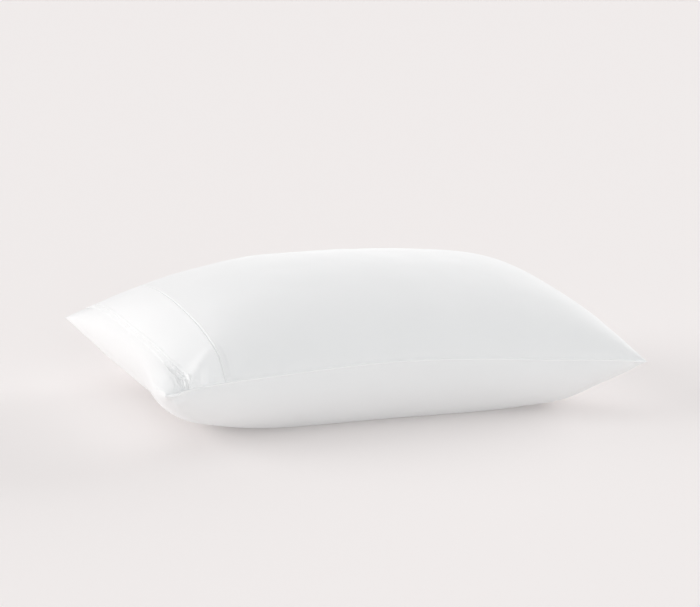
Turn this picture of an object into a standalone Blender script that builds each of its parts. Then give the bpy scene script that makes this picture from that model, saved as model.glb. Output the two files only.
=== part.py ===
"""A bed pillow zipped into its protector, lying on its back.

Three pieces of cloth, each one closed solid:

- pillow_body: the sewn case with the pillow that fills it. A top and a bottom panel meet in the
  side seams, and the bottom panel turns up round the closing end.
- end_band: the separate band across the top of the closing end, set into the case.
- zip_flap: the narrow folded flap over the zip, between the band and the turned-up end.

X runs along the pillow, from the closing end (-X) to the plain end (+X). Y runs across it, with
the near side at -Y. Z is up, and the pillow rests on Z = 0. A place on the pillow is given as
(along, across), each from -1 to 1 between opposite seams.
"""

import math
from itertools import accumulate

import bmesh
import bpy
from mathutils import Vector

# Outline of the case, seen from above.
HALF_LENGTH = 0.318
HALF_WIDTH = 0.228
END_DRAW = 0.0216
SIDE_DRAW = 0.0292
CORNER_TUCK = 0.012
CORNER_REACH = 0.11

# Height of the seam that joins the two panels: at the corners, and its rise towards the middle
# of a long side and of an end.
LEFT_SEAM_HEIGHT = 0.0815
RIGHT_SEAM_HEIGHT = 0.0710
SIDE_SEAM_RISE = 0.0131
END_SEAM_RISE = 0.0106

# How far each panel swells from the seam, and how full it is towards its edges.
TOP_CROWN = 0.0878
TOP_FULLNESS_LEFT = 1.87
TOP_FULLNESS_RIGHT = 4.77
TOP_FULLNESS_SIDES = 1.98
BOTTOM_CROWN = 0.119
BOTTOM_FULLNESS_LEFT = 2.94
BOTTOM_FULLNESS_RIGHT = 3.30
BOTTOM_FULLNESS_SIDES = 2.38
PRESS = 0.006

# The tension fold that runs from the near left corner up across the band.
FOLD_START = Vector((-0.292, -0.226))
FOLD_END = Vector((-0.238, -0.172))
FOLD_HEIGHT = 0.0026
FOLD_REACH = 0.010

# Where the band's seam and the zip flap cross the top panel.
BAND_SEAM_MIDDLE = -0.801
BAND_SEAM_SIDES = -0.718
FLAP_MIDDLE = -0.973
FLAP_NEAR = -0.899
FLAP_FAR = -0.916
FLAP_SWEEP = 0.044

# Cloth: the band is a doubled hem, and the flap is folded and stands a little proud.
CLOTH = 0.0020
FLAP_PROUD = 0.0010
GAP = 0.0003

# The net of each panel: how many columns each strip of the top panel takes, from the closing
# end, and how many rows lie between the ledges along the side seams. A gap is one thin column or
# row. Turns are angles along a panel, which reach 90 degrees at its seams.
END_COLUMNS = 5
FLAP_COLUMNS = 2
BAND_COLUMNS = 8
BODY_COLUMNS = 37
MIDDLE_ROWS = 32
LEDGE_TURN = math.radians(80.0)
GAP_TURN_ALONG = 0.0027
GAP_TURN_ACROSS = 0.0060
NUDGE = 0.01
WELD = 0.00001
SHARP_ANGLE = math.radians(50.0)

BODY, POCKET, BAND, FLAP = range(4)
STRIPS = (
    # strip, columns
    (BODY, END_COLUMNS),
    (POCKET, 1),
    (FLAP, FLAP_COLUMNS),
    (POCKET, 1),
    (BAND, BAND_COLUMNS),
    (POCKET, 1),
    (BODY, BODY_COLUMNS),
)
COLUMNS = sum(columns for _, columns in STRIPS)
ROWS = MIDDLE_ROWS + 4


def mix(low, high, place):
    """Blend straight from low at place -1 to high at place 1."""
    return low + (high - low) * (place + 1.0) / 2.0


def swell(place, fullness):
    """Share of a panel's crown at a place: 1 in the middle, upright where it meets the seam."""
    return math.sqrt(max(0.0, 1.0 - abs(place) ** fullness))


def plan_position(along, across):
    """X and Y of a place, with the ends and sides drawn in between the corners."""
    x = along * (HALF_LENGTH - END_DRAW * (1.0 - across**2))
    y = across * (HALF_WIDTH - SIDE_DRAW * (1.0 - along**2))
    distance = math.hypot(along + 1.0, across + 1.0)
    return x + CORNER_TUCK * math.exp(-((distance / CORNER_REACH) ** 2)), y


def seam_height(along, across):
    """Height of the sheet in which the panels' seams lie."""
    corners = mix(LEFT_SEAM_HEIGHT, RIGHT_SEAM_HEIGHT, along)
    return corners + SIDE_SEAM_RISE * (1.0 - along**2) + END_SEAM_RISE * (1.0 - across**2)


def pressed(height):
    """Flatten the cloth on the surface that it rests on, with a soft bend at the edge."""
    if height >= PRESS:
        return height
    if height <= -PRESS:
        return 0.0
    return (height + PRESS) ** 2 / (4.0 * PRESS)


def top_point(along, across):
    """Point of the top panel."""
    fullness = mix(TOP_FULLNESS_LEFT, TOP_FULLNESS_RIGHT, along)
    crown = TOP_CROWN * swell(along, fullness) * swell(across, TOP_FULLNESS_SIDES)
    return Vector((*plan_position(along, across), seam_height(along, across) + crown))


def bottom_point(along, across):
    """Point of the bottom panel."""
    fullness = mix(BOTTOM_FULLNESS_LEFT, BOTTOM_FULLNESS_RIGHT, along)
    crown = BOTTOM_CROWN * swell(along, fullness) * swell(across, BOTTOM_FULLNESS_SIDES)
    height = pressed(seam_height(along, across) - crown)
    return Vector((*plan_position(along, across), height))


def fold_height(point):
    """Height of the tension fold over the smooth top panel."""
    run = FOLD_END - FOLD_START
    length = run.length
    offset = point.xy - FOLD_START
    reached = offset.dot(run) / length
    aside = offset.cross(run) / length
    if not 0.0 < reached < length:
        return 0.0
    taper = math.sin(math.pi * reached / length)
    return FOLD_HEIGHT * taper * math.exp(-((aside / FOLD_REACH) ** 2))


def row_stops():
    """Rows, each with its turn, between which the rows are spaced evenly."""
    inner = LEDGE_TURN - GAP_TURN_ACROSS
    turns = (-math.pi / 2.0, -LEDGE_TURN, -inner, inner, LEDGE_TURN, math.pi / 2.0)
    return tuple(zip((0, 1, 2, ROWS - 2, ROWS - 1, ROWS), turns))


def column_stops(across):
    """Columns, each with its turn, at which the strips of the top panel begin and end."""
    flap_side = mix(FLAP_NEAR, FLAP_FAR, across)
    flap = math.asin(FLAP_MIDDLE + (flap_side - FLAP_MIDDLE) * across**2)
    seam = math.asin(BAND_SEAM_MIDDLE + (BAND_SEAM_SIDES - BAND_SEAM_MIDDLE) * across**2)
    turns = (
        -math.pi / 2.0,
        flap - FLAP_SWEEP / 2.0 - GAP_TURN_ALONG,
        flap - FLAP_SWEEP / 2.0,
        flap + FLAP_SWEEP / 2.0,
        flap + FLAP_SWEEP / 2.0 + GAP_TURN_ALONG,
        seam - GAP_TURN_ALONG,
        seam,
        math.pi / 2.0,
    )
    firsts = accumulate((columns for _, columns in STRIPS), initial=0)
    return tuple(zip(firsts, turns))


def turn_at(index, stops):
    """Turn of a row or column, spaced evenly between the stops on either side of it."""
    for (first, start), (last, end) in zip(stops, stops[1:]):
        if index <= last:
            return start + (end - start) * (index - first) / (last - first)
    raise ValueError(f"no stop after {index}")


def place_of(column, row):
    """Place of a net crossing. Columns and rows close up towards the seams."""
    across = math.sin(turn_at(row, row_stops()))
    return math.sin(turn_at(column, column_stops(across))), across


def outward_at(column, row):
    """Outward direction of the top panel at a net crossing, square to its two slopes there."""
    lengthwise = top_point(*place_of(column + NUDGE, row)) - top_point(*place_of(column - NUDGE, row))
    crosswise = top_point(*place_of(column, row + NUDGE)) - top_point(*place_of(column, row - NUDGE))
    return lengthwise.cross(crosswise).normalized()


def strip_of(column, row):
    """Which strip the net square that starts at this column and row belongs to."""
    if row in (0, ROWS - 1):
        return BODY
    ends = accumulate(columns for _, columns in STRIPS)
    strip = next(strip for (strip, _), end in zip(STRIPS, ends) if column < end)
    if strip != BODY and row in (1, ROWS - 2):
        return POCKET
    return strip


def split_corners(bm, net):
    """Split each corner square from its corner inwards, so that panels share only their seam."""
    for corner in [vertex for vertex in net if len(vertex.link_faces) == 1]:
        loop = corner.link_loops[0]
        bmesh.ops.connect_verts(bm, verts=[corner, loop.link_loop_next.link_loop_next.vert])


def add_panel(bm, point_at):
    """Add one panel's net to the mesh."""
    outward = bm.verts.layers.float_vector["outward"]
    net = bmesh.ops.create_grid(bm, x_segments=COLUMNS, y_segments=ROWS, size=1.0)["verts"]
    if point_at is top_point:
        mark_strips(bm)
    split_corners(bm, net)
    for vertex in net:
        column = round((vertex.co.x + 1.0) / 2.0 * COLUMNS)
        row = round((vertex.co.y + 1.0) / 2.0 * ROWS)
        vertex.co = point_at(*place_of(column, row))
        if point_at is top_point and 0 < column < COLUMNS and 0 < row < ROWS:
            vertex[outward] = outward_at(column, row)
            vertex.co += vertex[outward] * fold_height(vertex.co)


def mark_strips(bm):
    """Note on each square of the flat top net which strip it belongs to."""
    strips = bm.faces.layers.int["strip"]
    for face in bm.faces:
        middle = face.calc_center_median()
        column = math.floor((middle.x + 1.0) / 2.0 * COLUMNS)
        row = math.floor((middle.y + 1.0) / 2.0 * ROWS)
        face[strips] = strip_of(column, row)


def build_case():
    """The closed skin of the case, before the band and the flap are set into it."""
    bm = bmesh.new()
    bm.faces.layers.int.new("strip")
    bm.verts.layers.float_vector.new("outward")
    add_panel(bm, top_point)
    add_panel(bm, bottom_point)
    bmesh.ops.remove_doubles(bm, verts=bm.verts, dist=WELD)
    bmesh.ops.triangulate(bm, faces=bm.faces, quad_method="FIXED")
    bmesh.ops.recalc_face_normals(bm, faces=bm.faces)
    return bm


def strip_faces(bm, *wanted):
    """Faces that belong to the wanted strips."""
    strips = bm.faces.layers.int["strip"]
    return [face for face in bm.faces if face[strips] in wanted]


def push(bm, faces, distance):
    """Move the corners of some faces along the case's outward direction."""
    outward = bm.verts.layers.float_vector["outward"]
    for vertex in {vertex for face in faces for vertex in face.verts}:
        vertex.co += vertex[outward] * distance


def cut_strip(case, wanted, proud):
    """One strip of the case as a sheet of cloth, raised if it stands proud."""
    bm = case.copy()
    others = set(bm.faces) - set(strip_faces(bm, wanted))
    bmesh.ops.delete(bm, geom=list(others), context="FACES")
    push(bm, bm.faces, proud)
    front = list(bm.faces)
    bmesh.ops.extrude_face_region(bm, geom=front, use_keep_orig=True)
    push(bm, front, -(CLOTH + proud))
    bmesh.ops.recalc_face_normals(bm, faces=bm.faces)
    return bm


def sink_pocket(case):
    """Lower the case where the band and the flap lie in it, so that they end up flush."""
    pocket = strip_faces(case, POCKET, BAND, FLAP)
    bmesh.ops.inset_region(case, faces=pocket, thickness=0.0)
    push(case, pocket, -(CLOTH + GAP))
    bmesh.ops.recalc_face_normals(case, faces=case.faces)
    return case


def make_cloth(name, color, roughness):
    """A soft, matt cloth material."""
    material = bpy.data.materials.new(name)
    material.use_nodes = True
    shader = material.node_tree.nodes["Principled BSDF"]
    shader.inputs["Base Color"].default_value = (*color, 1.0)
    shader.inputs["Roughness"].default_value = roughness
    shader.inputs["Metallic"].default_value = 0.0
    material.diffuse_color = (*color, 1.0)
    return material


def make_piece(name, bm, material, collection):
    """Turn a closed mesh into an object."""
    mesh = bpy.data.meshes.new(name)
    bm.to_mesh(mesh)
    bm.free()
    mesh.materials.append(material)
    mesh.shade_smooth()
    mesh.set_sharp_from_angle(angle=SHARP_ANGLE)
    collection.objects.link(bpy.data.objects.new(name, mesh))


def main():
    for leftover in list(bpy.data.objects):
        bpy.data.objects.remove(leftover, do_unlink=True)
    collection = bpy.data.collections.new("pillow_protector")
    bpy.context.scene.collection.children.link(collection)

    case = build_case()
    band = cut_strip(case, BAND, 0.0)
    flap = cut_strip(case, FLAP, FLAP_PROUD)
    body = sink_pocket(case)

    case_cloth = make_cloth("case_cloth", (0.86, 0.86, 0.86), 0.85)
    band_cloth = make_cloth("band_cloth", (0.92, 0.92, 0.92), 0.80)
    flap_cloth = make_cloth("flap_cloth", (0.90, 0.90, 0.90), 0.80)

    make_piece("pillow_body", body, case_cloth, collection)
    make_piece("end_band", band, band_cloth, collection)
    make_piece("zip_flap", flap, flap_cloth, collection)


if __name__ == "__main__":
    main()
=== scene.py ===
"""A bed pillow zipped into its protector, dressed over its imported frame.

The frame holds three plain solids: the filled case, the band across its closing end, and the flap
over its zip. This script gives each one its cloth: the case with its crown, puckers and seam lips,
the hemmed band, the ruffled flap in its groove, the welt round the side seams, and the stitches.

X runs along the pillow, from the closing end (-X) to the plain end (+X). Y runs across it, with
the near side at -Y, and Z is up. A place on the cloth is given as (along, across), each from -1 to
1 between opposite seams. A turn is the angle whose sine is that place: nets are spaced evenly in
turns, which closes their rows up towards the seams, where the cloth curves most.
"""

from __future__ import annotations

import logging
import math
from abc import ABC, abstractmethod
from dataclasses import dataclass
from enum import Enum
from functools import partial
from itertools import accumulate
from typing import Callable, ClassVar, Sequence

import bmesh
import bpy
from mathutils import Matrix, Vector, noise


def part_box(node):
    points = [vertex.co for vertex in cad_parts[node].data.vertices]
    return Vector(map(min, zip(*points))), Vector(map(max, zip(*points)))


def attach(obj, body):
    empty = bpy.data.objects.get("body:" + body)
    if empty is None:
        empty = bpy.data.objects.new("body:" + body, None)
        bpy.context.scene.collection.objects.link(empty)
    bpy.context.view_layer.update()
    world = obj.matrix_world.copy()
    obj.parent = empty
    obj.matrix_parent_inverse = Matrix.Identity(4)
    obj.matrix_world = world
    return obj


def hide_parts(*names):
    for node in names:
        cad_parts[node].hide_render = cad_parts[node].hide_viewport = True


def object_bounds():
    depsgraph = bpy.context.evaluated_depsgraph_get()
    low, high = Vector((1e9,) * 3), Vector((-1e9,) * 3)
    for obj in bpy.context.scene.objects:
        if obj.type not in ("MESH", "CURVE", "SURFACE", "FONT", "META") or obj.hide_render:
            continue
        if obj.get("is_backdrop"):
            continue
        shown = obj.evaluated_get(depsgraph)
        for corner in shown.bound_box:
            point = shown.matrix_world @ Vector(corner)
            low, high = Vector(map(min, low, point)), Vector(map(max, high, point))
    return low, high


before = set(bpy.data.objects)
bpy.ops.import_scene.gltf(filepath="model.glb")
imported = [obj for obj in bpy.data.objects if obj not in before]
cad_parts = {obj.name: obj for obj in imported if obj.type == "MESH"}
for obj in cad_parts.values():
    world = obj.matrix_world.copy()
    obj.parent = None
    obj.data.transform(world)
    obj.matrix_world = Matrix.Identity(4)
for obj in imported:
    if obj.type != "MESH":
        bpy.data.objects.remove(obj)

LOG = logging.getLogger("pillow_protector")
WEAVE_MAP = "weave"
WAVE_SCALE = math.pi / 10.0  # Scale at which a wave texture has one ridge to the metre
MM = 0.001
EDGE_FADE = 3.0 * MM  # Closer to an edge than this, folds and seam lips die away
QUARTER_TURN = math.pi / 2.0


# --- Small helpers ---


def mix(low: float, high: float, place: float) -> float:
    """Blend straight from low at place -1 to high at place 1."""
    return low + (high - low) * (place + 1.0) / 2.0


def bump(distance: float, half_width: float) -> float:
    """A smooth bump of height 1 at distance 0, nearly flat past twice its half width."""
    return math.exp(-((distance / half_width) ** 2))


def ramp(value: float, start: float, end: float) -> float:
    """A smooth step from 0 at start to 1 at end."""
    share = min(1.0, max(0.0, (value - start) / (end - start)))
    return share * share * (3.0 - 2.0 * share)


def linear(hex_color: str) -> tuple[float, float, float, float]:
    """Turn an sRGB colour into linear light.

    Args:
        hex_color: The colour, such as #F0ECEB.

    Returns:
        Red, green, blue and alpha, from 0 to 1.
    """
    levels = [int(hex_color[place : place + 2], 16) / 255.0 for place in (1, 3, 5)]
    red, green, blue = (
        level / 12.92 if level <= 0.04045 else ((level + 0.055) / 1.055) ** 2.4 for level in levels
    )
    return red, green, blue, 1.0


# --- The form of the filled case ---


class Panel(Enum):
    """The two panels of the case, which meet in the side seams."""

    TOP = "top"
    BOTTOM = "bottom"


@dataclass(frozen=True)
class PillowForm:
    """The smooth shape that the filling gives the case, before any fold or pucker.

    Lengths are in metres. A fullness is the power in a panel's rounded profile: the higher it is,
    the flatter the crown and the steeper the edge. The near side seam wavers a little: each sway
    has its place along the pillow from -1 to 1, its reach in the same measure, and its height.
    """

    half_length: float
    half_width: float

    # How far the middle of each end and side draws in, and the near corner at the zip tucks in.
    end_draw: float = 0.0216
    side_draw: float = 0.0292
    corner_tuck: float = 0.012
    corner_reach: float = 0.11

    # The sheet in which the side seams lie.
    left_seam_height: float = 0.0815
    right_seam_height: float = 0.0710
    side_seam_rise: float = 0.0131
    near_seam_sways: tuple[tuple[float, float, float], ...] = (
        (-0.75, 0.15, 1.2 * MM),
        (-0.02, 0.30, 1.9 * MM),
        (0.62, 0.22, -2.0 * MM),
    )
    sway_power: int = 4
    end_seam_rise: float = 0.0106

    # How far each panel swells from that sheet, and how its profile rounds over.
    top_crown: float = 0.0878
    top_fullness_left: float = 1.87
    top_fullness_right: float = 4.77
    top_fullness_sides: float = 1.98
    bottom_crown: float = 0.119
    bottom_fullness_left: float = 2.94
    bottom_fullness_right: float = 3.30
    bottom_fullness_sides: float = 2.38
    press: float = 0.003

    # Where the band's seam and the zip run, as places along the pillow, and where the zip gapes.
    band_seam_middle: float = -0.801
    band_seam_sides: float = -0.718
    zip_middle: float = -0.973
    zip_near: float = -0.896
    zip_far: float = -0.916
    zip_gape: float = 0.85
    zip_gape_reach: float = 0.18

    @classmethod
    def from_frame(cls, node: str) -> "PillowForm":
        """Make the form as long and as wide as the case's solid in the frame."""
        low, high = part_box(node)
        return cls(half_length=(high.x - low.x) / 2.0, half_width=(high.y - low.y) / 2.0)

    def zip_turn(self, across: float) -> float:
        """Turn along the top panel at which the zip runs."""
        side = mix(self.zip_near, self.zip_far, across)
        return math.asin(self.zip_middle + (side - self.zip_middle) * across**2)

    def zip_spread(self, across: float) -> float:
        """How wide the closure lies: 1 along most of it, and nearly 2 where it gapes."""
        return 1.0 + self.zip_gape * bump(across + 1.0, self.zip_gape_reach)

    def zip_edge_turn(self, across: float, aside: float) -> float:
        """Turn at a share of a radian aside from the zip, which spreads where the zip gapes."""
        return self.zip_turn(across) + aside * self.zip_spread(across)

    def band_seam_turn(self, across: float) -> float:
        """Turn along the top panel at which the band is sewn to the case."""
        rise = (self.band_seam_sides - self.band_seam_middle) * across**2
        return math.asin(self.band_seam_middle + rise)

    def seam_height(self, along: float, across: float) -> float:
        """Height of the sheet in which the side seams lie.

        Args:
            along: Place along the pillow, from -1 to 1.
            across: Place across it.

        Returns:
            The height, in metres.
        """
        corners = mix(self.left_seam_height, self.right_seam_height, along)
        rise = self.side_seam_rise * (1.0 - along**2) + self.end_seam_rise * (1.0 - across**2)
        sway = sum(height * bump(along - at, reach) for at, reach, height in self.near_seam_sways)
        return corners + rise + sway * max(0.0, -across) ** self.sway_power

    def swell(self, place: float, fullness: float) -> float:
        """Share of a panel's crown at a place: 1 in the middle, upright at the seam."""
        return math.sqrt(max(0.0, 1.0 - abs(place) ** fullness))

    def pressed(self, height: float) -> float:
        """Flatten the cloth on the surface that it rests on, with a soft bend at the edge.

        Args:
            height: Height of the cloth if nothing held it up.

        Returns:
            Its height on that surface, which is 0 or more.
        """
        if height >= self.press:
            return height
        if height <= -self.press:
            return 0.0
        return (height + self.press) ** 2 / (4.0 * self.press)

    def point(self, panel: Panel, turn_along: float, turn_across: float) -> Vector:
        """Point of a panel's smooth surface.

        Args:
            panel: Which panel.
            turn_along: Turn along the pillow, from -90 to 90 degrees, in radians.
            turn_across: Turn across it.

        Returns:
            The point, in metres.
        """
        along, across = math.sin(turn_along), math.sin(turn_across)
        corner = math.hypot(along + 1.0, across + 1.0)
        x = along * (self.half_length - self.end_draw * (1.0 - across**2))
        x += self.corner_tuck * bump(corner, self.corner_reach)
        y = across * (self.half_width - self.side_draw * (1.0 - along**2))
        seam = self.seam_height(along, across)
        if panel is Panel.TOP:
            fullness = mix(self.top_fullness_left, self.top_fullness_right, along)
            shape = self.swell(along, fullness) * self.swell(across, self.top_fullness_sides)
            return Vector((x, y, seam + self.top_crown * shape))
        fullness = mix(self.bottom_fullness_left, self.bottom_fullness_right, along)
        shape = self.swell(along, fullness) * self.swell(across, self.bottom_fullness_sides)
        return Vector((x, y, self.pressed(seam - self.bottom_crown * shape)))


@dataclass(frozen=True)
class Spot:
    """Where a point of the cloth lies, measured over the smooth surface in metres.

    Attributes:
        panel: The panel that it is on.
        point: The point itself.
        outward: The direction out of the pillow there.
        from_zip: Distance from the middle of the zip, positive towards the band, as if the
            closure gaped nowhere.
        from_band_seam: Distance from the band's seam, positive towards the plain end.
        from_side: Distance from the nearer side seam.
        from_plain_end: Distance from the seam across the plain end.
        from_fold: Distance from the fold round the closing end.
        near: True on the half towards the near side.
    """

    panel: Panel
    point: Vector
    outward: Vector
    from_zip: float
    from_band_seam: float
    from_side: float
    from_plain_end: float
    from_fold: float
    near: bool

    @property
    def edge(self) -> float:
        """Distance from the nearest side seam, end seam or end fold."""
        return min(self.from_side, self.from_plain_end, self.from_fold)

    @property
    def inside(self) -> float:
        """Share from 0 at that edge to 1 a few millimetres in from it."""
        return ramp(self.edge, 0.0, EDGE_FADE)


@dataclass(frozen=True)
class Surveyor:
    """Measures the smooth form at a net crossing.

    Attributes:
        form: The form.
        nudge: Turn each way over which its slopes are measured, in radians.
    """

    form: PillowForm
    nudge: float = 0.004

    def spot(self, panel: Panel, turn_along: float, turn_across: float) -> Spot:
        """Measure one place.

        Args:
            panel: Which panel.
            turn_along: Turn along the pillow, in radians.
            turn_across: Turn across it.

        Returns:
            The spot, with its distances from the seams.
        """
        limit = QUARTER_TURN - self.nudge
        along = min(limit, max(-limit, turn_along))
        across = min(limit, max(-limit, turn_across))
        ahead = self.form.point(panel, along + self.nudge, across)
        behind = self.form.point(panel, along - self.nudge, across)
        left = self.form.point(panel, along, across + self.nudge)
        right = self.form.point(panel, along, across - self.nudge)
        lengthwise = (ahead - behind) / (2.0 * self.nudge)
        crosswise = (left - right) / (2.0 * self.nudge)
        outward = lengthwise.cross(crosswise).normalized()
        if panel is Panel.BOTTOM:
            outward = -outward
        place = math.sin(turn_across)
        from_zip = (turn_along - self.form.zip_turn(place)) * lengthwise.length
        from_band_seam = (turn_along - self.form.band_seam_turn(place)) * lengthwise.length
        return Spot(
            panel=panel,
            point=self.form.point(panel, turn_along, turn_across),
            outward=outward,
            from_zip=from_zip / self.form.zip_spread(place),
            from_band_seam=from_band_seam,
            from_side=(QUARTER_TURN - abs(turn_across)) * crosswise.length,
            from_plain_end=(QUARTER_TURN - turn_along) * lengthwise.length,
            from_fold=(QUARTER_TURN + turn_along) * lengthwise.length,
            near=turn_across < 0.0,
        )


# --- Folds, puckers and seam lips ---


@dataclass(frozen=True)
class Drift:
    """Slow random rise and fall over the cloth.

    Attributes:
        size: How wide one swell of it is, in metres.
        height: How far it rises or falls at most, about.
        seed: Picks one of many patterns.
    """

    size: float
    height: float
    seed: float

    def lift(self, point: Vector) -> float:
        """Height at a point of the cloth."""
        start = Vector((self.seed, -self.seed, 0.5 * self.seed))
        return self.height * noise.noise(point / self.size + start)


@dataclass(frozen=True)
class Crumple:
    """Crumpled cloth, with sharp troughs that run longer one way than the other.

    Attributes:
        width: Usual distance between troughs, in metres.
        length: How far one usually runs.
        height: Height of the crumpling, from about half of it down to a third of it up.
        seed: Picks one of many patterns.
        level: Share of the height that is taken off, so that the cloth is level on the whole.
    """

    width: float
    length: float
    height: float
    seed: float
    level: ClassVar[float] = 0.48

    def lift(self, aside: float, along: float) -> float:
        """Height at a distance across the troughs and a distance along them."""
        crumple = noise.noise(Vector((aside / self.width, along / self.length, self.seed)))
        return self.height * (math.sqrt(abs(crumple)) - self.level)


@dataclass(frozen=True)
class Ridge:
    """A soft ridge along a seam, set aside from it, or a trough if its height is below zero."""

    aside: float
    half_width: float
    height: float

    def lift(self, distance: float) -> float:
        """Height at a distance from the seam."""
        return self.height * bump(distance - self.aside, self.half_width)


@dataclass(frozen=True)
class Slope:
    """A smooth step up from 0 to 1, between two distances from a seam."""

    start: float
    end: float

    def share(self, distance: float) -> float:
        """Share of the step that is climbed at a distance from the seam."""
        return ramp(distance, self.start, self.end)


@dataclass(frozen=True)
class Stretch:
    """The stretch near the near side where something shows: its middle, and its reach each way."""

    middle: float
    reach: float

    def share(self, spot: Spot) -> float:
        """1 in the middle of the stretch, and 0 past its ends and on the far half."""
        return bump(spot.from_side - self.middle, self.reach) if spot.near else 0.0


@dataclass(frozen=True)
class TensionFold:
    """A soft ridge that runs over the top panel, placed by where it starts and ends from above."""

    start: tuple[float, float]
    end: tuple[float, float]
    height: float
    half_width: float
    side_fade: float = 12.0 * MM

    def lift(self, spot: Spot) -> float:
        """Height of the fold over the smooth form.

        Args:
            spot: Where on the cloth.

        Returns:
            The height, below zero for a trough.
        """
        run = Vector(self.end) - Vector(self.start)
        offset = spot.point.xy - Vector(self.start)
        reached = offset.dot(run) / run.length
        aside = offset.cross(run) / run.length
        if spot.panel is Panel.BOTTOM or not 0.0 < reached < run.length:
            return 0.0
        height = self.height * math.sin(math.pi * reached / run.length)
        return height * bump(aside, self.half_width) * ramp(spot.from_side, 0.0, self.side_fade)


@dataclass(frozen=True)
class SeamFold:
    """A soft ridge or trough that stands on the near side seam and dies away up the cloth."""

    panel: Panel
    x: float
    lean: float
    height: float
    half_width: float
    reach: float
    foot: float = 0.15

    def lift(self, spot: Spot) -> float:
        """Height of the fold over the smooth form.

        Args:
            spot: Where on the cloth.

        Returns:
            The height, below zero for a trough.
        """
        if not spot.near or spot.panel is not self.panel:
            return 0.0
        aside = spot.point.x - self.x - self.lean * spot.from_side
        fade = ramp(spot.from_side, 0.0, self.foot * self.reach) * bump(spot.from_side, self.reach)
        return self.height * bump(aside, self.half_width) * fade


@dataclass(frozen=True)
class Swelling:
    """A soft round swelling of the cloth about a point, or a hollow if its height is below zero."""

    panel: Panel
    centre: tuple[float, float, float]
    radius: float
    height: float

    def lift(self, spot: Spot) -> float:
        """Height of the cloth over the smooth form at a spot."""
        away = (spot.point - Vector(self.centre)).length
        return self.height * bump(away, self.radius) if spot.panel is self.panel else 0.0


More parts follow.
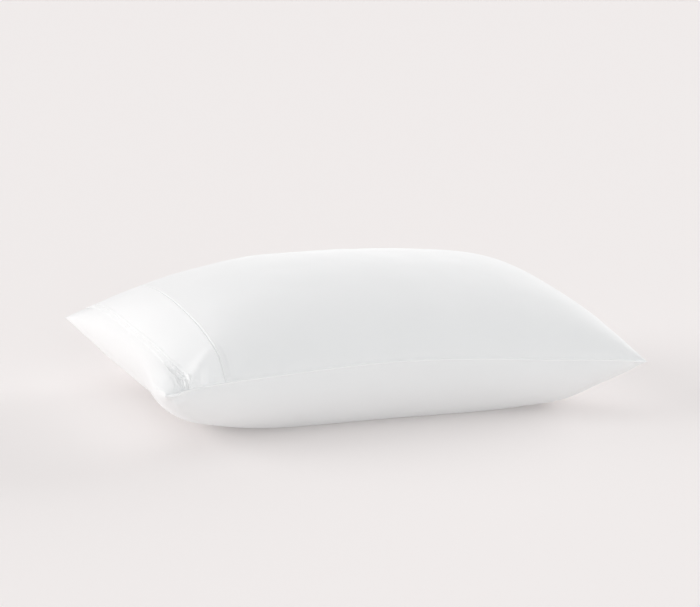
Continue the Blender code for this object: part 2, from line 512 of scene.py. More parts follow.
@dataclass(frozen=True)
class Relief:
    """Everything that lifts or lowers the cloth from the smooth form.

    The case, the band and the flap all follow the shared folds, so that they stay nested. Each
    then adds its own edges. A ridge or a slope is measured from the zip or from the band's seam.
    """

    folds: tuple[TensionFold | SeamFold | Swelling, ...] = (
        TensionFold((-0.292, -0.236), (-0.226, -0.174), 4.2 * MM, 9.0 * MM),
        TensionFold((-0.262, -0.242), (-0.208, -0.192), -3.6 * MM, 11.0 * MM),
        SeamFold(Panel.TOP, -0.262, 0.10, 1.3 * MM, 3.8 * MM, 24.0 * MM),
        SeamFold(Panel.TOP, -0.251, 0.16, -1.2 * MM, 4.4 * MM, 28.0 * MM),
        SeamFold(Panel.TOP, -0.239, 0.20, 0.8 * MM, 4.5 * MM, 24.0 * MM),
        SeamFold(Panel.TOP, -0.283, 0.00, -1.6 * MM, 2.6 * MM, 16.0 * MM),
        SeamFold(Panel.BOTTOM, -0.2955, 0.30, 2.8 * MM, 4.5 * MM, 30.0 * MM),
        SeamFold(Panel.TOP, 0.294, -0.60, -1.1 * MM, 7.0 * MM, 9.0 * MM),
        Swelling(Panel.BOTTOM, (-0.291, -0.222, 0.077), 7.0 * MM, -6.0 * MM),
        Swelling(Panel.BOTTOM, (0.303, -0.226, 0.067), 7.0 * MM, -3.0 * MM),
        Swelling(Panel.TOP, (-0.277, -0.220, 0.099), 4.5 * MM, -2.5 * MM),
        Swelling(Panel.BOTTOM, (-0.256, -0.170, 0.030), 42.0 * MM, 4.0 * MM),
        Swelling(Panel.BOTTOM, (0.240, -0.150, 0.022), 42.0 * MM, 4.0 * MM),
    )

    # Slow unevenness, which dies away at the edges.
    unevenness: tuple[Drift, ...] = (
        Drift(95.0 * MM, 1.5 * MM, 3.1),
        Drift(44.0 * MM, 0.7 * MM, 5.9),
        Drift(20.0 * MM, 0.15 * MM, 7.7),
    )
    even_edge: float = 30.0 * MM

    # Ripples square to the seams.
    side_pucker: Drift = Drift(15.0 * MM, 0.55 * MM, 1.7)
    end_pucker: Drift = Drift(15.0 * MM, 0.55 * MM, 5.3)
    pucker_slant: float = 0.2
    pucker_reach: float = 13.0 * MM

    # The cloth gathered along the zip, in pleats at its near end and rings towards its far end.
    gather: Crumple = Crumple(9.0 * MM, 9.0 * MM, 1.3 * MM, 6.2)
    gather_reach: float = 7.0 * MM
    pleat: Crumple = Crumple(1.8 * MM, 16.0 * MM, 5.0 * MM, 9.1)
    pleat_spread: Ridge = Ridge(1.0 * MM, 4.8 * MM, 1.0)
    pleat_reach: float = 60.0 * MM
    pleat_edge: float = 5.0 * MM
    ring_spacing: float = 5.0 * MM
    ring_height: float = 0.8 * MM
    ring_centre: float = 92.0 * MM
    ring_reach: float = 24.0 * MM
    ring_offset: float = 5.0 * MM
    ring_stretch: float = 0.4
    ring_sway: Drift = Drift(12.0 * MM, 2.0, 4.9)
    ring_spread: Ridge = Ridge(-4.0 * MM, 8.0 * MM, 1.0)

    # The groove over the zip, deepest where the closure gapes, and the flap that lies in it.
    cloth: float = 1.3 * MM
    zip_depth: float = 0.6 * MM
    zip_gape: float = 1.7 * MM
    gape_stretch: Stretch = Stretch(0.0, 58.0 * MM)
    far_rise: float = 0.7
    flap_edge: float = 0.45 * MM
    flap_clearance: float = 0.8 * MM
    flap_lean: Slope = Slope(-3.0 * MM, 3.4 * MM)
    flap_tuck: Slope = Slope(2.4 * MM, 3.4 * MM)
    flap_tuck_depth: float = 0.3 * MM
    ruffle: Crumple = Crumple(5.0 * MM, 11.0 * MM, 0.6 * MM, 2.9)

    # The case's lip and trough beside the band's seam.
    lip: Ridge = Ridge(1.6 * MM, 1.1 * MM, 0.6 * MM)
    lip_least: float = 0.3
    lip_stretch: Stretch = Stretch(30.0 * MM, 50.0 * MM)
    trough: Ridge = Ridge(8.5 * MM, 3.2 * MM, -1.1 * MM)
    trough_stretch: Stretch = Stretch(38.0 * MM, 34.0 * MM)

    # The end strip's dent and shoulder beside the flap.
    dent: Ridge = Ridge(-4.4 * MM, 1.4 * MM, -0.3 * MM)
    shoulder_height: float = 3.0 * MM
    shoulder_rise: Slope = Slope(-17.0 * MM, -4.5 * MM)
    shoulder_fall: Slope = Slope(-3.6 * MM, -2.4 * MM)
    shoulder_stretch: Stretch = Stretch(55.0 * MM, 42.0 * MM)

    # Where the case steps down under the flap and under the band.
    groove_start: Slope = Slope(-3.2 * MM, -2.2 * MM)
    groove_end: Slope = Slope(4.0 * MM, 6.0 * MM)
    under_band_start: Slope = Slope(2.2 * MM, 3.2 * MM)
    under_band_end: Slope = Slope(-0.7 * MM, 0.5 * MM)

    # The band's own edges.
    band_turned_edge: Ridge = Ridge(4.5 * MM, 1.4 * MM, 0.5 * MM)
    band_seam_dip: Ridge = Ridge(0.0, 1.1 * MM, -1.0 * MM)

    def shared(self, spot: Spot) -> float:
        """What the case, the band and the flap share: the folds, the unevenness and the puckers.

        Args:
            spot: Where on the cloth.

        Returns:
            The height over the smooth form.
        """
        uneven = sum(drift.lift(spot.point) for drift in self.unevenness)
        lift = sum(fold.lift(spot) for fold in self.folds) + self.puckers(spot)
        lift += uneven * ramp(spot.edge, 0.0, self.even_edge)
        if spot.panel is Panel.BOTTOM:
            return lift
        gathers = self.gather.lift(spot.from_zip, spot.point.y)
        gathers *= bump(spot.from_zip, self.gather_reach)
        return lift + gathers + (self.pleats(spot) if spot.near else self.rings(spot))

    def puckers(self, spot: Spot) -> float:
        """Small ripples square to the side seams and the end seam, where the stitching draws in.

        Args:
            spot: Where on the cloth.

        Returns:
            The height that they add.
        """
        slant = self.pucker_slant * spot.point.z
        side = self.side_pucker.lift(Vector((spot.point.x, 0.0, slant)))
        end = self.end_pucker.lift(Vector((0.0, spot.point.y, slant)))
        side *= bump(spot.from_side, self.pucker_reach)
        return side + end * bump(spot.from_plain_end, self.pucker_reach)

    def pleats(self, spot: Spot) -> float:
        """The cloth bunched into pleats along the zip, at its near end.

        Args:
            spot: Where on the top panel.

        Returns:
            The height that they add.
        """
        wave = self.pleat.lift(spot.from_zip, spot.from_side)
        wave *= bump(spot.from_side, self.pleat_reach) * ramp(spot.from_side, 0.0, self.pleat_edge)
        return wave * self.pleat_spread.lift(spot.from_zip)

    def rings(self, spot: Spot) -> float:
        """The cloth bunched into rings towards the zip's far end.

        Args:
            spot: Where on the top panel.

        Returns:
            The height that they add.
        """
        centre = spot.from_side - self.ring_centre
        ring = math.hypot(spot.from_zip + self.ring_offset, self.ring_stretch * centre)
        wave = math.cos(2.0 * math.pi * ring / self.ring_spacing + self.ring_sway.lift(spot.point))
        reached = bump(centre, self.ring_reach) * self.ring_spread.lift(spot.from_zip)
        return self.ring_height * wave * reached

    def zip_floor(self, spot: Spot) -> float:
        """How deep the flap over the zip lies.

        Its free edge stands a little above the end strip, and it dips against the band. It lies
        deepest at the near side, where the closure gapes.

        Args:
            spot: Where on the top panel.

        Returns:
            The depth below the shared folds.
        """
        beside = bump(spot.from_side, self.gape_stretch.reach)
        shallow = 0.0 if spot.near else self.far_rise * beside
        dip = (self.zip_depth + self.flap_edge) * (1.0 - shallow)
        dip *= self.flap_lean.share(spot.from_zip)
        return dip - self.flap_edge + self.zip_gape * self.gape_stretch.share(spot)

    def case_edges(self, spot: Spot) -> float:
        """The case's own edges.

        It has a lip and a trough beside the band's seam, a dent and a shoulder beside the flap, and
        a step down under the band and the flap.

        Args:
            spot: Where on the case.

        Returns:
            The height over the shared folds.
        """
        if spot.panel is Panel.BOTTOM:
            return 0.0
        lip = self.lip.lift(spot.from_band_seam)
        lip *= self.lip_least + (1.0 - self.lip_least) * self.lip_stretch.share(spot)
        trough = self.trough.lift(spot.from_band_seam) * self.trough_stretch.share(spot)
        shoulder = self.shoulder_height * self.shoulder_rise.share(spot.from_zip)
        shoulder *= 1.0 - self.shoulder_fall.share(spot.from_zip)
        shoulder *= self.shoulder_stretch.share(spot)
        under_band = self.under_band_start.share(spot.from_zip)
        under_band *= 1.0 - self.under_band_end.share(spot.from_band_seam)
        groove = self.groove_start.share(spot.from_zip) * (1.0 - under_band)
        groove *= 1.0 - self.groove_end.share(spot.from_zip)
        under_flap = self.zip_floor(spot) + self.cloth + self.flap_clearance
        step = self.cloth * under_band + under_flap * groove
        return lip + trough + self.dent.lift(spot.from_zip) + shoulder - step

    def band_edges(self, spot: Spot) -> float:
        """The band's turned edge at the zip, and its dip into the seam."""
        turned = self.band_turned_edge.lift(spot.from_zip)
        return turned + self.band_seam_dip.lift(spot.from_band_seam)

    def flap_ruffle(self, spot: Spot) -> float:
        """The flap lies low in its groove, ruffles along it, and tucks under at its edge."""
        tuck = self.flap_tuck_depth * self.flap_tuck.share(spot.from_zip)
        return self.ruffle.lift(spot.from_zip, spot.point.y) - self.zip_floor(spot) - tuck


# --- Nets of cloth ---


@dataclass(frozen=True)
class Stop:
    """A line at which a net's spacing changes: how many rows or columns lead up to it."""

    lines: int
    turn: Callable[[float], float]


@dataclass(frozen=True)
class Net:
    """Columns along the pillow and rows across it, spaced evenly in turns between their stops."""

    start: Callable[[float], float]
    stops: tuple[Stop, ...]
    rows: int
    edge_turn: float = QUARTER_TURN

    @property
    def columns(self) -> int:
        """Number of squares along the pillow."""
        return sum(stop.lines for stop in self.stops)

    def turns(self, column: int, row: int) -> tuple[float, float]:
        """Find a crossing of the net.

        Args:
            column: Squares along the pillow up to it.
            row: Squares across it.

        Returns:
            Its turns along and across the pillow.
        """
        turn_across = self.edge_turn * (2.0 * row / self.rows - 1.0)
        across = math.sin(turn_across)
        first, begin = 0, self.start(across)
        for stop in self.stops:
            end = stop.turn(across)
            if column <= first + stop.lines:
                return begin + (end - begin) * (column - first) / stop.lines, turn_across
            first, begin = first + stop.lines, end
        return begin, turn_across

    def add(
        self, bm: bmesh.types.BMesh, place: Callable[[float, float], Vector]
    ) -> list[bmesh.types.BMVert]:
        """Add the net to a mesh, with its weave.

        Args:
            bm: The mesh.
            place: Gives the point for a turn along and a turn across.

        Returns:
            The net's vertices.
        """
        return woven_grid(
            bm, self.columns, self.rows, lambda column, row: place(*self.turns(column, row))
        )


def woven_grid(
    bm: bmesh.types.BMesh, columns: int, rows: int, place: Callable[[int, int], Vector]
) -> list[bmesh.types.BMVert]:
    """Add a grid, move its crossings into place, and lay the cloth's weave over it.

    The weave is a UV map in metres along the warp and the weft, from the middle of the grid.

    Args:
        bm: The mesh.
        columns: Number of squares one way.
        rows: Number of squares the other way.
        place: Gives the point for a column and a row.

    Returns:
        The grid's vertices.
    """
    grid = bmesh.ops.create_grid(bm, x_segments=columns, y_segments=rows, size=1.0)["verts"]
    crossings = {}
    for vertex in grid:
        column = round((vertex.co.x + 1.0) / 2.0 * columns)
        row = round((vertex.co.y + 1.0) / 2.0 * rows)
        vertex.co = place(column, row)
        crossings[column, row] = vertex
    warp, weft = {}, {}
    for row in range(rows + 1):
        line = [crossings[column, row] for column in range(columns + 1)]
        warp.update(zip(line, distances_along(line)))
    for column in range(columns + 1):
        line = [crossings[column, row] for row in range(rows + 1)]
        weft.update(zip(line, distances_along(line)))
    weave = bm.loops.layers.uv.get(WEAVE_MAP) or bm.loops.layers.uv.new(WEAVE_MAP)
    for vertex in grid:
        for loop in vertex.link_loops:
            loop[weave].uv = (warp[vertex], weft[vertex])
    return grid


def distances_along(line: Sequence[bmesh.types.BMVert]) -> list[float]:
    """Measure along a line of the net.

    Args:
        line: Its vertices in order.

    Returns:
        The distance of each from the middle one, in metres.
    """
    steps = [(after.co - before.co).length for before, after in zip(line, line[1:])]
    reached = list(accumulate(steps, initial=0.0))
    middle = reached[len(reached) // 2]
    return [distance - middle for distance in reached]


def split_corners(bm: bmesh.types.BMesh, net: Sequence[bmesh.types.BMVert]) -> None:
    """Split each corner square from its corner inwards, so that two panels share only a seam.

    Args:
        bm: The mesh.
        net: The vertices of one panel's net.
    """
    for corner in [vertex for vertex in net if len(vertex.link_faces) == 1]:
        loop = corner.link_loops[0]
        bmesh.ops.connect_verts(bm, verts=[corner, loop.link_loop_next.link_loop_next.vert])


def make_object(name: str, bm: bmesh.types.BMesh, material: bpy.types.Material) -> bpy.types.Object:
    """Turn a mesh into a shown object with smooth shading.

    Args:
        name: Name of the piece.
        bm: The mesh, which is freed.
        material: Its finish.

    Returns:
        The object, at the origin.
    """
    mesh = bpy.data.meshes.new(name)
    bm.to_mesh(mesh)
    bm.free()
    mesh.materials.append(material)
    mesh.shade_smooth()
    piece = bpy.data.objects.new(name, mesh)
    bpy.context.scene.collection.objects.link(piece)
    LOG.info("%s: %d faces", name, len(mesh.polygons))
    return piece


# --- Finishes ---


def add_node(
    tree: bpy.types.NodeTree,
    kind: str,
    settings: dict[str, object] | None = None,
    inputs: dict[str | int, object] | None = None,
) -> bpy.types.Node:
    """Add a node, set it up, and link it to the nodes that feed it.

    Args:
        tree: The material's node tree.
        kind: Type of the node.
        settings: Its properties.
        inputs: For each input's name or number, a value or the output that feeds it.

    Returns:
        The node.
    """
    node = tree.nodes.new(kind)
    for name, value in (settings or {}).items():
        setattr(node, name, value)
    for name, value in (inputs or {}).items():
        if isinstance(value, bpy.types.NodeSocket):
            tree.links.new(value, node.inputs[name])
        else:
            node.inputs[name].default_value = value
    return node


@dataclass(frozen=True)
class WovenCotton:
    """Bleached plain-weave cotton and polyester cloth, pressed smooth.

    It reads as matt and even, with a faint soft bloom where it turns away from the eye, and its
    threads show only close to.

    Attributes:
        name: Name of the finish.
        color: Colour of the cloth, as sRGB hex.
        shade: Slightly darker colour that it drifts to, as sRGB hex.
        thread_pitch: Distance between threads. The real cloth has about 0.3 mm; it is drawn
            coarser, so that the weave shows close to.
        thread_depth: How deep the bump between threads is.
        roughness: Roughness of the cloth.
        ior: Refractive index of its fibres.
        sheen: Strength of the bloom from loose fibres.
        sheen_roughness: How far that bloom spreads.
        slub_size: Distance between thick places in the threads.
        slub_depth: Depth of the bump that these make, as a share of a thread's.
        slub_detail: How many finer layers they have.
        patch_size: How wide a patch is where the bleach took a little less.
        patch_detail: How many finer layers the patches have.
    """

    name: str
    color: str
    shade: str
    thread_pitch: float = 0.8 * MM
    thread_depth: float = 0.05 * MM
    roughness: float = 0.85
    ior: float = 1.53
    sheen: float = 0.5
    sheen_roughness: float = 0.5
    slub_size: float = 6.0 * MM
    slub_depth: float = 0.6
    slub_detail: float = 3.0
    patch_size: float = 90.0 * MM
    patch_detail: float = 2.0

    def material(self) -> bpy.types.Material:
        """Build the material.

        Returns:
            The material.
        """
        material = bpy.data.materials.new(self.name)
        material.use_nodes = True
        tree = material.node_tree
        shader = tree.nodes["Principled BSDF"]
        cloth = add_node(tree, "ShaderNodeUVMap", {"uv_map": WEAVE_MAP}).outputs["UV"]
        place = add_node(tree, "ShaderNodeTexCoord").outputs["Object"]

        # Each set of threads is a row of soft ridges; one set crosses the other.
        threads = []
        for direction in ("X", "Y"):
            ridges = add_node(
                tree,
                "ShaderNodeTexWave",
                {"wave_type": "BANDS", "bands_direction": direction, "wave_profile": "SIN"},
                {"Vector": cloth, "Scale": WAVE_SCALE / self.thread_pitch},
            )
            threads.append(ridges.outputs["Fac"])
        weave = add_node(
            tree, "ShaderNodeMath", {"operation": "MULTIPLY"}, {0: threads[0], 1: threads[1]}
        )
        slubs = add_node(
            tree,
            "ShaderNodeTexNoise",
            inputs={
                "Vector": place,
                "Scale": 1.0 / self.slub_size,
                "Detail": self.slub_detail,
            },
        )
        surface = add_node(
            tree,
            "ShaderNodeMath",
            {"operation": "MULTIPLY_ADD"},
            {0: slubs.outputs["Fac"], 1: self.slub_depth, 2: weave.outputs["Value"]},
        )
        raised = add_node(
            tree,
            "ShaderNodeBump",
            inputs={
                "Strength": 1.0,
                "Distance": self.thread_depth,
                "Height": surface.outputs["Value"],
            },
        )

        # The bleach took a little unevenly, in patches about a hand wide.
        patches = add_node(
            tree,
            "ShaderNodeTexNoise",
            inputs={
                "Vector": place,
                "Scale": 1.0 / self.patch_size,
                "Detail": self.patch_detail,
            },
        )
        tint = add_node(
            tree,
            "ShaderNodeMix",
            {"data_type": "RGBA"},
            {0: patches.outputs["Fac"], 6: linear(self.color), 7: linear(self.shade)},
        )
        tree.links.new(tint.outputs[2], shader.inputs["Base Color"])
        tree.links.new(raised.outputs["Normal"], shader.inputs["Normal"])
        shader.inputs["Roughness"].default_value = self.roughness
        shader.inputs["IOR"].default_value = self.ior
        shader.inputs["Sheen Weight"].default_value = self.sheen
        shader.inputs["Sheen Roughness"].default_value = self.sheen_roughness
        return material


@dataclass(frozen=True)
class SpunThread:
    """White spun polyester sewing thread.

    Its two plies are twisted together, which gives the eye a fine slanting ribbing and a slight
    gloss.
    """

    name: str = "spun_polyester_thread"
    color: str = "#F4F4F4"
    twist_pitch: float = 0.6 * MM
    twist_depth: float = 0.08 * MM
    twist_strength: float = 0.6
    roughness: float = 0.55

    def material(self) -> bpy.types.Material:
        """Build the material.

        Returns:
            The material.
        """
        material = bpy.data.materials.new(self.name)
        material.use_nodes = True
        tree = material.node_tree
        shader = tree.nodes["Principled BSDF"]
        place = add_node(tree, "ShaderNodeTexCoord").outputs["Object"]
        twist = add_node(
            tree,
            "ShaderNodeTexWave",
            {"wave_type": "BANDS", "bands_direction": "DIAGONAL"},
            {"Vector": place, "Scale": WAVE_SCALE / self.twist_pitch},
        )
        raised = add_node(
            tree,
            "ShaderNodeBump",
            inputs={
                "Strength": self.twist_strength,
                "Distance": self.twist_depth,
                "Height": twist.outputs["Fac"],
            },
        )
        tree.links.new(raised.outputs["Normal"], shader.inputs["Normal"])
        shader.inputs["Base Color"].default_value = linear(self.color)
        shader.inputs["Roughness"].default_value = self.roughness
        return material


@dataclass(frozen=True)
class LitAcrylic:
    """Sheet of matt opal acrylic, softly lit from below, as on a product table.

    It reads as a plain pale floor, and its own light keeps the shadow on it short and thin.
    """

    name: str = "opal_acrylic"
    color: str = "#E4E0DF"
    roughness: float = 1.0
    specular: float = 0.0
    glow: str = "#FFFBFA"
    glow_strength: float = 0.15

    def material(self) -> bpy.types.Material:
        """Build the material.

        Returns:
            The material.
        """
        material = bpy.data.materials.new(self.name)
        material.use_nodes = True
        shader = material.node_tree.nodes["Principled BSDF"]
        shader.inputs["Base Color"].default_value = linear(self.color)
        shader.inputs["Roughness"].default_value = self.roughness
        shader.inputs["Specular IOR Level"].default_value = self.specular
        shader.inputs["Emission Color"].default_value = linear(self.glow)
        shader.inputs["Emission Strength"].default_value = self.glow_strength
        return material


# --- The pieces ---


@dataclass
class PillowCase:
    """The filled case: top and bottom panels, closed along the side seams.

    Its net is closer beside the zip and beside the band's seam, and the lines at which it changes
    are turns from these two.

    Attributes:
        surveyor: Measures the smooth form.
        relief: The folds and edges that it has.
        finish: Its cloth.
        rows: Squares of its net across the pillow.
        end_columns: Squares from the fold round the closing end to beside the zip.
        zip_columns: Squares over the zip.
        zip_reach: How far these reach each way from it.
        under_band_columns: Squares under the band.
        lip_start: Where the lip beside the band's seam starts, from that seam.
        lip_columns: Squares over the lip.
        lip_end: Where the lip ends.
        beside_lip_columns: Squares over the trough beside it.
        beside_lip_end: Where the trough ends.
        body_columns: Squares from there to the seam across the plain end.
        rest_fade: Height below which the bottom's folds die away, so that it rests flat.
        fill: How full the case is, from 0 to 1. Not used.
        weld: Distance within which vertices are merged.
    """

    surveyor: Surveyor
    relief: Relief
    finish: bpy.types.Material
    rows: int = 196
    end_columns: int = 32
    zip_columns: int = 34
    zip_reach: float = 0.055
    under_band_columns: int = 22
    lip_start: float = -0.012
    lip_columns: int = 18
    lip_end: float = 0.028
    beside_lip_columns: int = 10
    beside_lip_end: float = 0.10
    body_columns: int = 120
    rest_fade: float = 12.0 * MM
    fill: float = 0.85
    weld: float = 0.01 * MM

    def net(self) -> Net:
        """Lay out the net that both panels share.

        Returns:
            The net.
        """
        zip_edge, seam = self.surveyor.form.zip_edge_turn, self.surveyor.form.band_seam_turn
        return Net(
            start=lambda across: -QUARTER_TURN,
            stops=(
                Stop(self.end_columns, lambda across: zip_edge(across, -self.zip_reach)),
                Stop(self.zip_columns, lambda across: zip_edge(across, self.zip_reach)),
                Stop(self.under_band_columns, lambda across: seam(across) + self.lip_start),
                Stop(self.lip_columns, lambda across: seam(across) + self.lip_end),
                Stop(self.beside_lip_columns, lambda across: seam(across) + self.beside_lip_end),
                Stop(self.body_columns, lambda across: QUARTER_TURN),
            ),
            rows=self.rows,
        )

    def place(self, panel: Panel, turn_along: float, turn_across: float) -> Vector:
        """Place a crossing of a panel's net, with its folds and edges added.

        Args:
            panel: Which panel.
            turn_along: Turn along the pillow, in radians.
            turn_across: Turn across it.

        Returns:
            The point, on the surface that the pillow rests on or above it.
        """
        spot = self.surveyor.spot(panel, turn_along, turn_across)
        lift = self.relief.shared(spot) + self.relief.case_edges(spot)
        if panel is Panel.BOTTOM:
            lift *= ramp(spot.point.z, 0.0, self.rest_fade)
        point = spot.point + spot.outward * lift * spot.inside
        point.z = max(0.0, point.z)
        return point

    def build(self) -> None:
        """Sew the two panels together, and give the case to the frame."""
        bm = bmesh.new()
        for panel in Panel:
            split_corners(bm, self.net().add(bm, partial(self.place, panel)))
        bmesh.ops.remove_doubles(bm, verts=bm.verts, dist=self.weld)
        bmesh.ops.recalc_face_normals(bm, faces=bm.faces)
        case = make_object("case_cloth", bm, self.finish)
        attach(case, "root")
        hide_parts("pillow_body")


@dataclass
class ClothStrip(ABC):
    """A strip of cloth that lies in the top panel. Each kind has its own net and edges.

    Attributes:
        name: Name of the strip.
        node: Name of the solid that it dresses.
        surveyor: Measures the smooth form that it lies on.
        relief: The folds that it follows.
        finish: Its cloth.
        flat: Its length and width when laid flat, with the edges that are sewn in. Not used.
        rows: Squares of its net across the pillow.
        edge_turn: How far it reaches each way across the pillow, as a turn.
        thickness: Thickness of the cloth, with its turned edges.
        edge_radius: Radius of its rounded edges.
        edge_segments: Facets round each of them.
        edge_angle: Edges sharper than this are rounded.
    """

    name: ClassVar[str]
    node: ClassVar[str]

    surveyor: Surveyor
    relief: Relief
    finish: bpy.types.Material
    flat: tuple[float, float]
    rows: int
    edge_turn: float
    thickness: float = 1.0 * MM
    edge_radius: float = 0.3 * MM
    edge_segments: int = 2
    edge_angle: float = math.radians(50.0)

    @abstractmethod
    def net(self) -> Net:
        """The strip's net."""

    @abstractmethod
    def lift(self, spot: Spot) -> float:
        """Height of the strip's outer face over the smooth form at a spot."""

    def place(self, turn_along: float, turn_across: float) -> Vector:
        """Point of the strip's outer face."""
        spot = self.surveyor.spot(Panel.TOP, turn_along, turn_across)
        return spot.point + spot.outward * self.lift(spot) * spot.inside

    def build(self) -> None:
        """Cut the strip, thicken it inwards with rounded edges, and give it to the frame."""
        bm = bmesh.new()
        self.net().add(bm, self.place)
        strip = make_object(self.name, bm, self.finish)
        shell = strip.modifiers.new("thickness", "SOLIDIFY")
        shell.thickness = self.thickness
        shell.offset = -1.0
        edges = strip.modifiers.new("soft edges", "BEVEL")
        edges.width = self.edge_radius
        edges.segments = self.edge_segments
        edges.limit_method = "ANGLE"
        edges.angle_limit = self.edge_angle
        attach(strip, "root")
        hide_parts(self.node)


@dataclass
class EndBand(ClothStrip):
    """The band over the closing end, from its turned edge at the zip to its seam on the case.

    Its net is closer at both edges, which are placed as turns from the zip and from the seam.
    """

    name: ClassVar[str] = "band_cloth"
    node: ClassVar[str] = "end_band"

    flat: tuple[float, float] = (0.465, 0.062)
    rows: int = 300
    edge_turn: float = math.radians(89.3)
    turned_edge: float = 0.025
    turned_columns: int = 20
    turned_end: float = 0.08
    middle_columns: int = 44
    seam_start: float = -0.03
    seam_columns: int = 16
    seam_edge: float = -0.002

    def net(self) -> Net:
        """Lay out the band's net.

        Returns:
            The net.
        """
        zip_edge, seam = self.surveyor.form.zip_edge_turn, self.surveyor.form.band_seam_turn
        return Net(
            start=lambda across: zip_edge(across, self.turned_edge),
            stops=(
                Stop(self.turned_columns, lambda across: zip_edge(across, self.turned_end)),
                Stop(self.middle_columns, lambda across: seam(across) + self.seam_start),
                Stop(self.seam_columns, lambda across: seam(across) + self.seam_edge),
            ),
            rows=self.rows,
            edge_turn=self.edge_turn,
        )

    def lift(self, spot: Spot) -> float:
        """Height of the band's outer face over the smooth form at a spot."""
        return self.relief.shared(spot) + self.relief.band_edges(spot)


@dataclass
class ZipFlap(ClothStrip):
    """The narrow ruffled flap that hides the zip, between the end strip and the band.

    Its edges are placed as turns from the zip.
    """

    name: ClassVar[str] = "flap_cloth"
    node: ClassVar[str] = "zip_flap"

    flat: tuple[float, float] = (0.46, 0.01)
    rows: int = 440
    edge_turn: float = math.radians(88.6)
    free_edge: float = -0.030
    columns: int = 22
    sewn_edge: float = 0.031

    def net(self) -> Net:
        """Lay out the flap's net, fine enough for its ruffles.

        Returns:
            The net.
        """
        zip_edge = self.surveyor.form.zip_edge_turn
        return Net(
            start=lambda across: zip_edge(across, self.free_edge),
            stops=(Stop(self.columns, lambda across: zip_edge(across, self.sewn_edge)),),
            rows=self.rows,
            edge_turn=self.edge_turn,
        )

    def lift(self, spot: Spot) -> float:
        """Height of the flap's outer face over the smooth form at a spot."""
        return self.relief.shared(spot) + self.relief.flap_ruffle(spot)


class SeamRun(Enum):
    """The runs of the seam between the two panels."""

    NEAR = "near side"
    END = "plain end"
    FAR = "far side"


@dataclass
class SideSeam:
    """The welt where the two panels are sewn together, down both sides and across the plain end.

    It thins out towards the corners. On the near run it widens into a small ear beside each
    corner, and its tip stands out at the plain end.

    Attributes:
        form: The smooth form whose rim it follows.
        finish: Its cloth, the band's whiter one, which is partly painted highlight on its ridge.
        segments: Squares of its skin along each run.
        sides: Squares round it.
        nudge: Turn each way over which its direction is measured, in radians.
        half_width: Half its width, level with the seam.
        half_thickness: Half its thickness, square to that.
        set_out: How far its middle stands out from the rim.
        taper_reach: Distance from a corner over which it thins.
        taper_least: Share of its size that is left at the corner.
        ear_width: How much wider it is at an ear.
        ear_place: Distance of an ear from its corner.
        ear_length: Half the length of an ear, about.
        tip_length: How far the tip stands out.
        tip_reach: Distance from the corner over which the tip draws out.
        weld: Distance within which vertices are merged.
    """

    form: PillowForm
    finish: bpy.types.Material
    segments: int = 260
    sides: int = 12
    nudge: float = 0.01
    half_width: float = 1.1 * MM
    half_thickness: float = 1.2 * MM
    set_out: float = 0.2 * MM
    taper_reach: float = 7.0 * MM
    taper_least: float = 0.2
    ear_width: float = 6.0 * MM
    ear_place: float = 11.0 * MM
    ear_length: float = 6.0 * MM
    tip_length: float = 1.0 * MM
    tip_reach: float = 12.0 * MM
    weld: float = 0.01 * MM

    def rim_point(self, run: SeamRun, turn: float) -> Vector:
        """Find a point on the seam between the panels.

        Args:
            run: Which run of it.
            turn: Turn along that run, in radians.

        Returns:
            The point.
        """
        if run is SeamRun.END:
            return self.form.point(Panel.TOP, QUARTER_TURN, turn)
        side = -QUARTER_TURN if run is SeamRun.NEAR else QUARTER_TURN
        return self.form.point(Panel.TOP, turn, side)

    def place(self, run: SeamRun, column: int, row: int) -> Vector:
        """Place a crossing of the welt's skin.

        Args:
            run: Which run of the seam.
            column: Step along the run.
            row: Step round the welt.

        Returns:
            The point.
        """
        turn = QUARTER_TURN * (2.0 * column / self.segments - 1.0)
        here = self.rim_point(run, turn)
        ahead = self.rim_point(run, min(QUARTER_TURN, turn + self.nudge))
        behind = self.rim_point(run, max(-QUARTER_TURN, turn - self.nudge))
        direction = (ahead - behind).normalized()
        outward = direction.cross(Vector((0.0, 0.0, 1.0))).normalized()
        if outward.dot(Vector((here.x, here.y, 0.0))) < 0.0:
            outward.negate()
        upward = direction.cross(outward).normalized()

        corners = (self.rim_point(run, -QUARTER_TURN), self.rim_point(run, QUARTER_TURN))
        from_corner = min((here - corner).length for corner in corners)
        ear = tip = 0.0
        if run is SeamRun.NEAR:
            ear = self.ear_width * bump(from_corner - self.ear_place, self.ear_length)
            if turn >= 0.0:
                tip = self.tip_length * (1.0 - ramp(from_corner, 0.0, self.tip_reach))
        thinned = math.sqrt(ramp(from_corner, 0.0, self.taper_reach))
        taper = self.taper_least + (1.0 - self.taper_least) * thinned
        centre = here + outward * (self.set_out + 0.5 * ear) * taper + direction * tip
        angle = 2.0 * math.pi * row / self.sides
        across = outward * math.cos(angle) * (self.half_width + 0.5 * ear)
        through = upward * math.sin(angle) * self.half_thickness
        return centre + (across + through) * taper

    def build(self) -> None:
        """Sew the welt, and let it ride with the case."""
        bm = bmesh.new()
        for run in SeamRun:
            woven_grid(bm, self.segments, self.sides, partial(self.place, run))
        bmesh.ops.remove_doubles(bm, verts=bm.verts, dist=self.weld)
        open_edges = [edge for edge in bm.edges if edge.is_boundary]
        bmesh.ops.holes_fill(bm, edges=open_edges, sides=0)
        bmesh.ops.recalc_face_normals(bm, faces=bm.faces)
        welt = make_object("side_seam", bm, self.finish)
        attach(welt, "root")


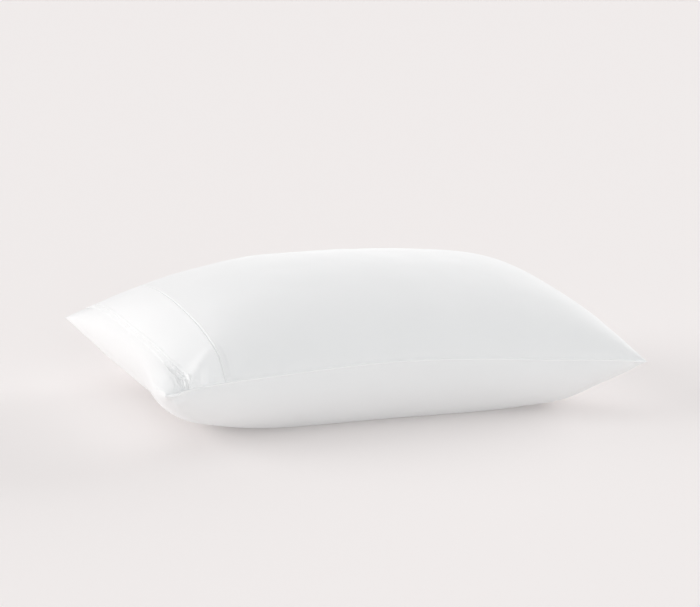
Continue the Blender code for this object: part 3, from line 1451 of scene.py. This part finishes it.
@dataclass
class StitchLine:
    """One row of stitches through a strip, beside a line across the pillow.

    Attributes:
        name: Name of the row.
        strip: The strip that it is sewn through.
        line: Gives the turn along the pillow of the line, for a place across it.
        aside: Distance of the row from that line, positive towards the plain end.
        finish: Its thread.
        edge_turn: How far the row reaches each way across the pillow, as a turn.
        pitch: Distance from one stitch to the next.
        stitch_length: Length of one stitch.
        thread: Thickness of the thread.
        samples: Number of steps in which the line is followed.
        facets: Faces round a stitch and along it.
    """

    name: str
    strip: ClothStrip
    line: Callable[[float], float]
    aside: float
    finish: bpy.types.Material
    edge_turn: float = math.radians(86.0)
    pitch: float = 3.0 * MM
    stitch_length: float = 2.1 * MM
    thread: float = 0.36 * MM
    samples: int = 900
    facets: tuple[int, int] = (8, 6)

    def point(self, turn_across: float) -> Vector:
        """Find a point of the row on the strip's outer face.

        Args:
            turn_across: Turn across the pillow, in radians.

        Returns:
            The point.
        """
        form, nudge = self.strip.surveyor.form, self.strip.surveyor.nudge
        start = self.line(math.sin(turn_across))
        here = form.point(Panel.TOP, start, turn_across)
        ahead = form.point(Panel.TOP, start + nudge, turn_across)
        return self.strip.place(start + self.aside * nudge / (ahead - here).length, turn_across)

    def build(self) -> None:
        """Sew the row as one piece, and let it ride with the case."""
        shares = [sample / self.samples for sample in range(self.samples + 1)]
        line = [self.point(self.edge_turn * (2.0 * share - 1.0)) for share in shares]
        half_thread = 0.5 * self.thread
        size = Matrix.Diagonal((0.5 * self.stitch_length, half_thread, half_thread, 1.0))
        bm = bmesh.new()
        travelled, due = 0.0, 0.5 * self.pitch
        for before, after in zip(line, line[1:]):
            travelled += (after - before).length
            if travelled < due:
                continue
            due += self.pitch
            turn = (after - before).to_track_quat("X", "Z").to_matrix().to_4x4()
            bmesh.ops.create_uvsphere(
                bm,
                u_segments=self.facets[0],
                v_segments=self.facets[1],
                radius=1.0,
                matrix=Matrix.Translation(after) @ turn @ size,
            )
        stitches = make_object(self.name, bm, self.finish)
        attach(stitches, "root")


# --- The studio ---


def direction_to(azimuth: float, elevation: float) -> Vector:
    """Direction from the pillow towards a place, in degrees round from the near side and up.

    Args:
        azimuth: 0 is the near side, 90 the plain end and -90 the closing end.
        elevation: Above the horizon.

    Returns:
        The unit direction.
    """
    around, up = math.radians(azimuth), math.radians(elevation)
    level = math.cos(up)
    return Vector((math.sin(around) * level, -math.cos(around) * level, math.sin(up)))


@dataclass(frozen=True)
class SoftLight:
    """A broad, distant, soft light.

    Attributes:
        name: Name of the light.
        azimuth: Where it shines from, in degrees round from the near side towards the plain end.
        elevation: How high it stands, in degrees.
        strength: Its strength, in watts to the square metre.
        spread: How wide it looks from the pillow, in degrees.
        color: Its colour, as sRGB hex.
    """

    name: str
    azimuth: float
    elevation: float
    strength: float
    spread: float
    color: str = "#FFFFFF"

    def build(self) -> None:
        """Hang the light."""
        light = bpy.data.lights.new(self.name, "SUN")
        light.color = linear(self.color)[:3]
        light.energy = self.strength
        light.angle = math.radians(self.spread)
        lamp = bpy.data.objects.new(self.name, light)
        lamp.rotation_mode = "QUATERNION"
        towards = direction_to(self.azimuth, self.elevation)
        lamp.rotation_quaternion = towards.to_track_quat("Z", "Y")
        bpy.context.scene.collection.objects.link(lamp)


@dataclass(frozen=True)
class Studio:
    """The pale seamless floor, the even sky, the soft lights and the camera.

    The lights stand at both ends, in front and above. The one in front is a little cool, because
    the light off the floor is a little warm.
    """

    sky_color: str = "#FFFDFD"
    sky_strength: float = 0.515
    lights: tuple[SoftLight, ...] = (
        SoftLight("key_light", -110.0, 13.0, 1.88, 50.0),
        SoftLight("front_fill", 0.0, 4.0, 1.04, 50.0, "#EEFCFF"),
        SoftLight("side_light", 112.0, 4.0, 2.5, 50.0),
        SoftLight("top_light", 0.0, 90.0, 0.4, 70.0),
    )
    floor_half_size: float = 40.0
    camera_azimuth: float = -20.3
    camera_elevation: float = 12.1
    camera_distance: float = 2.8
    camera_reach: float = 200.0
    camera_lens: float = 111.1
    camera_sensor: float = 36.0
    target: tuple[float, float, float] = (0.006, 0.0, 0.1225)

    def build(self) -> None:
        """Set up the floor, the light, the camera and the tones."""
        self.lay_floor()
        self.hang_sky()
        for light in self.lights:
            light.build()
        self.set_camera()
        bpy.context.scene.view_settings.view_transform = "Standard"

    def lay_floor(self) -> None:
        """Lay the floor, as part of the stage."""
        bm = bmesh.new()
        bmesh.ops.create_grid(bm, x_segments=1, y_segments=1, size=self.floor_half_size)
        make_object("studio_floor", bm, LitAcrylic().material())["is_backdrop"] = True

    def hang_sky(self) -> None:
        """Surround everything with an even sky."""
        world = bpy.data.worlds.new("studio_sky")
        world.use_nodes = True
        sky = world.node_tree.nodes["Background"]
        sky.inputs["Color"].default_value = linear(self.sky_color)
        sky.inputs["Strength"].default_value = self.sky_strength
        bpy.context.scene.world = world

    def set_camera(self) -> None:
        """Aim the camera at the pillow, and shoot through it."""
        camera = bpy.data.cameras.new("camera")
        camera.lens = self.camera_lens
        camera.sensor_width = self.camera_sensor
        camera.clip_end = self.camera_reach
        eye = bpy.data.objects.new("camera", camera)
        back = direction_to(self.camera_azimuth, self.camera_elevation)
        eye.location = Vector(self.target) + back * self.camera_distance
        eye.rotation_mode = "QUATERNION"
        eye.rotation_quaternion = (-back).to_track_quat("-Z", "Y")
        bpy.context.scene.collection.objects.link(eye)
        bpy.context.scene.camera = eye


# --- The whole protector ---


def write_sizes(cad_box: tuple[Vector, Vector]) -> None:
    """Gather the frame's box and measure the dressed part's box, as lists of corners.

    Args:
        cad_box: The frame's lowest and highest corners.
    """
    boxes = {"cad": cad_box, "visual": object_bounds()}
    lists = {name: [list(corner) for corner in box] for name, box in boxes.items()}


def main() -> None:
    """Build the protector's pieces over the frame, and the studio round it."""
    logging.basicConfig(level=logging.INFO, format="%(name)s: %(message)s")
    cad_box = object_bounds()
    form = PillowForm.from_frame("pillow_body")
    surveyor = Surveyor(form)
    relief = Relief()

    case_cloth = WovenCotton("case_percale", color="#F3F3F3", shade="#F0F0F0").material()
    band_cloth = WovenCotton("band_percale", color="#F8F8F8", shade="#F6F6F6").material()
    thread = SpunThread().material()

    PillowCase(surveyor, relief, case_cloth).build()
    band = EndBand(surveyor, relief, band_cloth)
    band.build()
    ZipFlap(surveyor, relief, band_cloth).build()
    # The welt takes the band's whiter cloth; its lighter colour is partly painted highlight along
    # the seam's ridge.
    SideSeam(form, band_cloth).build()
    StitchLine("band_seam_stitches", band, form.band_seam_turn, -3.2 * MM, thread).build()

    Studio().build()
    write_sizes(cad_box)


if __name__ == "__main__":
    main()
